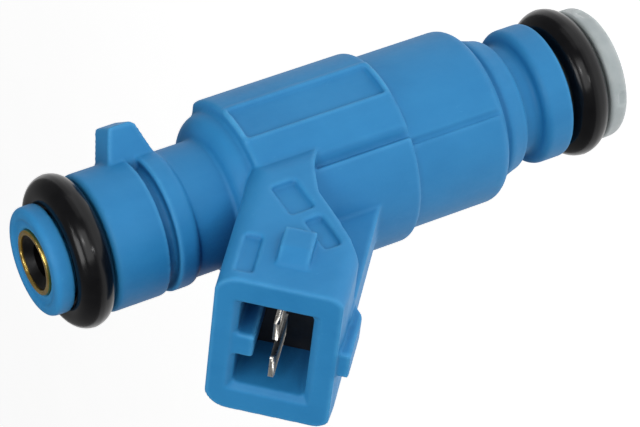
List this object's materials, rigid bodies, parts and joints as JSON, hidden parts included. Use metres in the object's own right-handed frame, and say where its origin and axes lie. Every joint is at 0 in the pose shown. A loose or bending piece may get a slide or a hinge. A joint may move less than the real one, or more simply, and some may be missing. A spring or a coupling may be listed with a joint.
{
  "type": "fuel injector",
  "caption": "Top-feed solenoid fuel injector: moulded body with an angled blade connector, a seal ring at each end, and a spring-closed ball valve inside.",
  "frame": {"origin": "centre of the nozzle end, on the injector axis", "axes": "+Z along the injector axis towards the fuel inlet, +X towards the side the connector stands on, +Y completes the right-handed set"},
  "size_m": [0.0313, 0.0194, 0.0599],
  "materials": {
    "body_plastic": "moulded, satin",
    "cap_nylon": "natural nylon, slightly translucent",
    "seal_rubber": "smooth, lightly oiled",
    "brass": "turned",
    "filter_plastic": "moulded",
    "filter_gauze": "fine woven gauze",
    "tube_steel": "drawn and turned",
    "spring_steel": "drawn wire",
    "bobbin_plastic": "moulded",
    "winding_copper": "enamelled copper wire",
    "magnet_steel": "pressed",
    "stainless": "turned stainless",
    "ground_steel": "ground and polished",
    "tinned_blade": "tin plated"
  },
  "bodies": {
    "injector": {"housing": "body_plastic", "support_ring": "body_plastic", "end_cap": "cap_nylon", "inlet_seal_ring": "seal_rubber", "nozzle_seal_ring": "seal_rubber", "filter_collar": "brass", "filter_cage": "filter_plastic", "filter_mesh": "filter_gauze", "inlet_tube": "tube_steel", "adjusting_sleeve": "stainless", "return_spring": "spring_steel", "coil_bobbin": "bobbin_plastic", "coil_winding": "winding_copper", "magnet_shell": "magnet_steel", "flux_washer": "magnet_steel", "spacer_ring": "stainless", "valve_body": "stainless", "valve_seat": "ground_steel", "guide_disc": "stainless", "orifice_plate": "stainless", "terminal_carrier": "bobbin_plastic", "terminal_left": "tinned_blade", "terminal_right": "tinned_blade"},
    "valve": {"armature": "magnet_steel", "needle_tube": "stainless", "valve_ball": "ground_steel"}
  },
  "joints": [
    {"name": "valve_lift", "type": "slide", "parent": "injector", "child": "valve", "axis": [0, 0, 1], "range_m": [0, 0.00008], "stiffness_N_per_m": 2000, "springref_m": -0.002, "deforming": ["return_spring"]}
  ]
}
